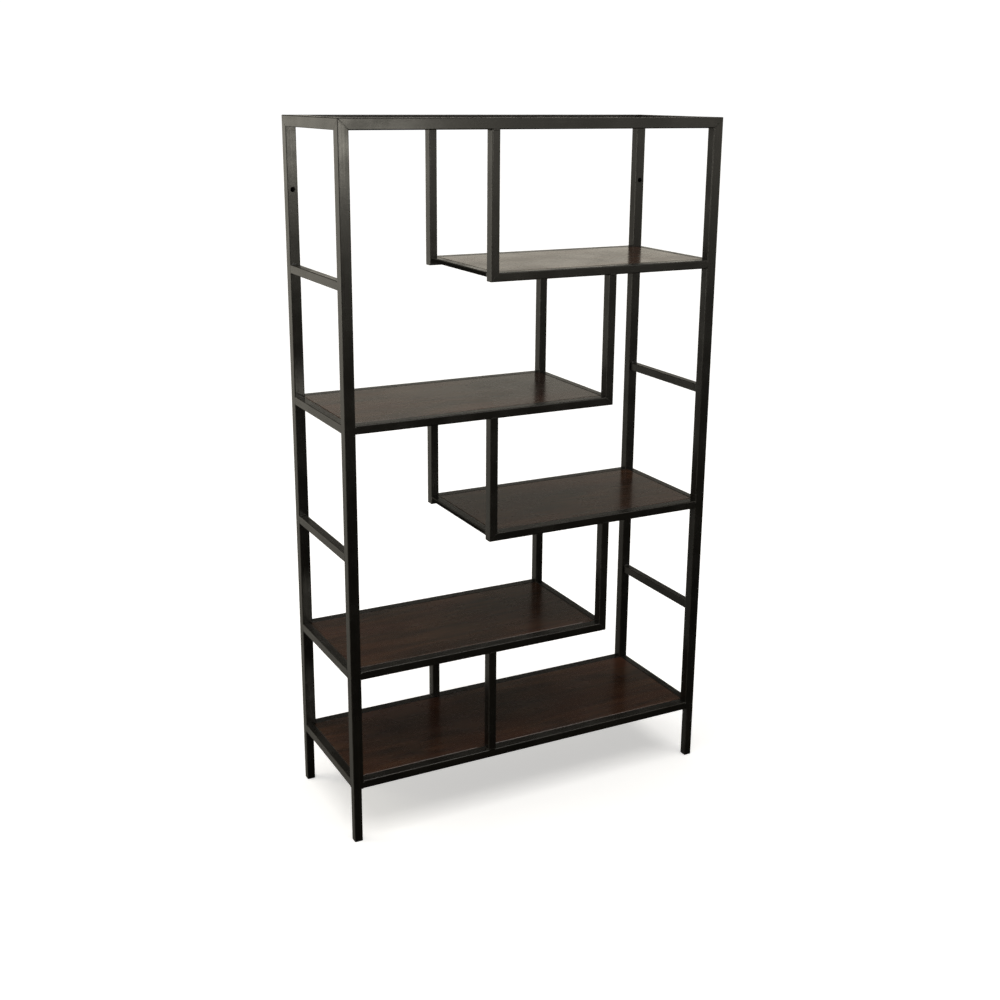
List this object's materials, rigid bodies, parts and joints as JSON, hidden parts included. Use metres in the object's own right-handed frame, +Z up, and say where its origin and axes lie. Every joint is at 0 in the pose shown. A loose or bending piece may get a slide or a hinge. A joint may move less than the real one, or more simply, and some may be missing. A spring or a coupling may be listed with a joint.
{
  "type": "bookcase",
  "caption": "Tall open bookcase of black square steel tube with staggered fixed timber shelves, drop bars, an open top frame and slim legs; screws to the wall through the back posts.",
  "frame": {"origin": "on the floor, at the middle of the footprint", "axes": "+X to the right seen from the front, +Y to the back, towards the wall, +Z up"},
  "size_m": [0.96, 0.35, 1.65],
  "materials": {
    "frame": "satin black powder coat over welded steel tube",
    "panel": "dark espresso stained timber, semi-gloss lacquer, grain along the shelf",
    "foot": "matte black moulded plastic",
    "screw": "dull zinc plate"
  },
  "bodies": {
    "root": {"drop_bar_1_back": "frame", "drop_bar_1_front": "frame", "drop_bar_2_back": "frame", "drop_bar_2_front": "frame", "drop_bar_3_back": "frame", "drop_bar_3_front": "frame", "drop_bar_4_back": "frame", "drop_bar_4_front": "frame", "drop_bar_5_back": "frame", "drop_bar_5_front": "frame", "foot_back_left": "foot", "foot_back_right": "foot", "foot_front_left": "foot", "foot_front_right": "foot", "leg_back_left": "frame", "leg_back_right": "frame", "leg_front_left": "frame", "leg_front_right": "frame", "post_back_left": "frame", "post_back_right": "frame", "post_front_left": "frame", "post_front_right": "frame", "post_plates": "frame", "rung_1_left": "frame", "rung_2_right": "frame", "rung_3_left": "frame", "rung_4_right": "frame", "shelf_1_panel": "panel", "shelf_1_rail_back": "frame", "shelf_1_rail_front": "frame", "shelf_1_rail_left": "frame", "shelf_1_rail_right": "frame", "shelf_2_panel": "panel", "shelf_2_rail_back": "frame", "shelf_2_rail_front": "frame", "shelf_2_rail_left": "frame", "shelf_2_rail_right": "frame", "shelf_3_panel": "panel", "shelf_3_rail_back": "frame", "shelf_3_rail_front": "frame", "shelf_3_rail_left": "frame", "shelf_3_rail_right": "frame", "shelf_4_panel": "panel", "shelf_4_rail_back": "frame", "shelf_4_rail_front": "frame", "shelf_4_rail_left": "frame", "shelf_4_rail_right": "frame", "shelf_5_panel": "panel", "shelf_5_rail_back": "frame", "shelf_5_rail_front": "frame", "shelf_5_rail_left": "frame", "shelf_5_rail_right": "frame", "shelf_screws": "screw", "shelf_tabs": "frame", "top_rail_back": "frame", "top_rail_front": "frame", "top_rail_left": "frame", "top_rail_right": "frame"}
  },
  "joints": []
}
